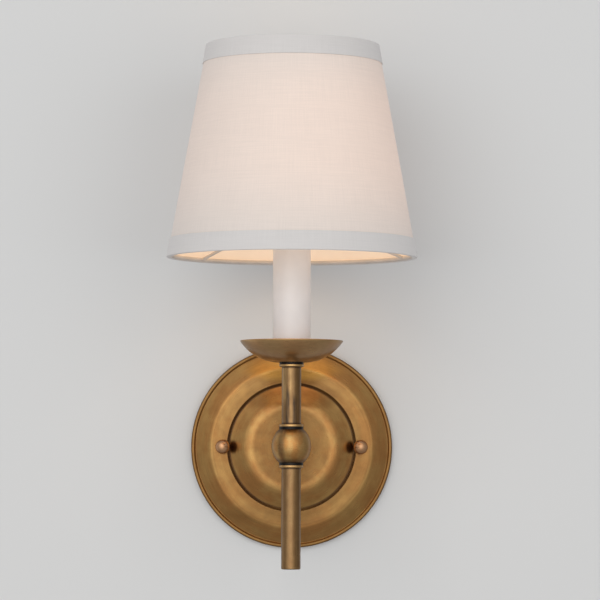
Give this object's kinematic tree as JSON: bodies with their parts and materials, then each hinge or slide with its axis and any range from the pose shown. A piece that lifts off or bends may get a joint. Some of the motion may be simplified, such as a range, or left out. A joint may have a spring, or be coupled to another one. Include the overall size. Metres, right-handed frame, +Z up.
{
  "type": "wall light",
  "caption": "Candle wall light with a tapered fabric shade, white candle sleeve, drip dish, ball-jointed brass stem and a stepped round backplate.",
  "frame": {"origin": "centre of the round backplate on the wall plane, midway between the two wall box screws", "axes": "+Z up along the stem and candle, +Y into the wall, so the light stands out towards -Y; +X to the right seen from the room"},
  "size_m": [0.1558, 0.1729, 0.3249],
  "materials": {
    "antique_brass": "brushed antique brass with dark patina in the grooves",
    "nut_brass": "polished reddish brass",
    "zinc_steel": "zinc plated steel",
    "earth_green": "green screw",
    "candle_white": "satin off-white sleeve",
    "socket_black": "moulded phenolic",
    "contact_brass": "plain brass strip",
    "cap_nickel": "bright screw cap",
    "insulator_black": "black glass insulator",
    "frosted_glass": "frosted, lit",
    "frame_wire": "pale grey coated wire",
    "shade_linen": "fine off-white plain weave",
    "shade_liner": "translucent white styrene",
    "shade_trim": "self fabric trim band"
  },
  "bodies": {
    "fixture": {"mounting_strap": "zinc_steel", "mounting_studs": "zinc_steel", "stud_nuts": "zinc_steel", "ground_screw": "earth_green", "backplate": "antique_brass", "arm_nipple": "zinc_steel", "arm_washer": "zinc_steel", "arm_lock_nut": "zinc_steel", "arm_tube": "antique_brass", "arm_rear_collar": "antique_brass", "arm_front_collar": "antique_brass", "centre_ball": "antique_brass", "upper_collar": "antique_brass", "lower_collar": "antique_brass", "dish_collar": "antique_brass", "upper_tube": "antique_brass", "lower_tube": "antique_brass", "tail_cap": "antique_brass", "upper_rod": "zinc_steel", "lower_rod": "zinc_steel", "drip_dish": "antique_brass", "dish_lock_nut": "zinc_steel", "socket_bracket": "zinc_steel", "socket_body": "socket_black", "socket_shell": "contact_brass", "socket_contact": "contact_brass", "candle_sleeve": "candle_white"},
    "shade": {"fitter_ring": "frame_wire", "fitter_arms": "frame_wire", "bottom_ring": "frame_wire", "top_ring": "frame_wire", "shade_fabric": "shade_linen", "shade_liner": "shade_liner", "top_trim": "shade_trim", "bottom_trim": "shade_trim"},
    "bulb": {"bulb_cap": "cap_nickel", "bulb_insulator": "insulator_black", "bulb_contact": "cap_nickel", "bulb_glass": "frosted_glass"},
    "left_nut": {"left_ball_nut": "nut_brass"},
    "right_nut": {"right_ball_nut": "nut_brass"}
  },
  "joints": [
    {"name": "shade_turn", "type": "hinge", "parent": "fixture", "child": "shade", "pos_m": [0, -0.095, 0.15438], "axis": [0, 0, 1], "continuous": true},
    {"name": "bulb_unscrew", "type": "slide", "parent": "fixture", "child": "bulb", "axis": [0, 0, 1], "range_m": [0, 0.025]},
    {"name": "left_nut_unscrew", "type": "slide", "parent": "fixture", "child": "left_nut", "axis": [0, -1, 0], "range_m": [0, 0.012]},
    {"name": "right_nut_unscrew", "type": "slide", "parent": "fixture", "child": "right_nut", "axis": [0, -1, 0], "range_m": [0, 0.012]}
  ]
}
